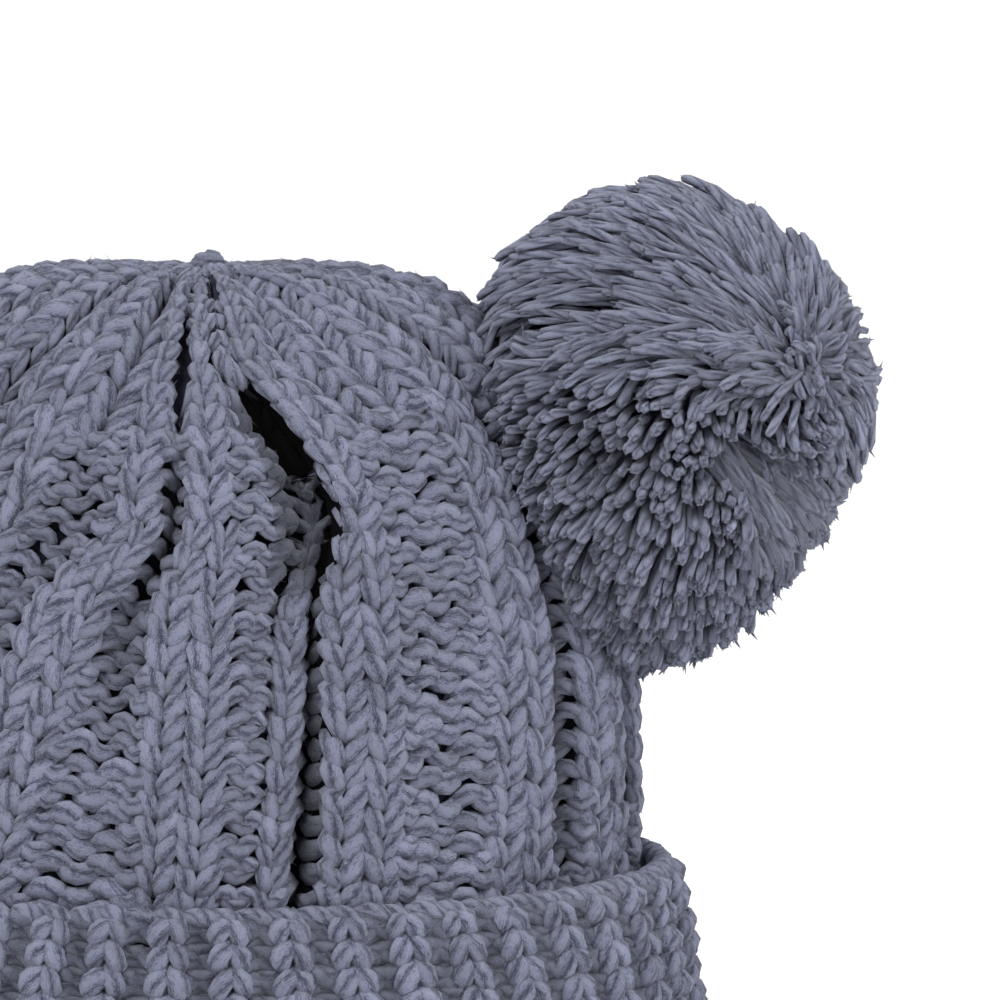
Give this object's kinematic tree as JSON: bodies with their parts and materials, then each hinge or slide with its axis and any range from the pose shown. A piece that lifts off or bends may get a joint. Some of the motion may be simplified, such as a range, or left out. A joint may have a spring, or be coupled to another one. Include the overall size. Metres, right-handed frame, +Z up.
{
  "type": "knitted baby hat",
  "caption": "Chunky ribbed knit baby hat with a gathered crown, a deep turned-up cuff and a round pompom ear on each shoulder.",
  "frame": {"origin": "on the surface the hat stands on, below the middle of the hat", "axes": "+Z up from the cuff to the gathered top, +X across the hat to the pompom on the right of the front view, -Y out of the front"},
  "size_m": [0.26, 0.1466, 0.1838],
  "materials": {
    "yarn": "matte chunky knitted yarn, blue grey",
    "pompom_yarn": "matte cut yarn ends, blue grey"
  },
  "bodies": {
    "root": {"crown": "yarn", "cuff": "yarn", "gather_knot": "yarn", "pompom_right": "pompom_yarn", "pompom_left": "pompom_yarn"}
  },
  "joints": []
}
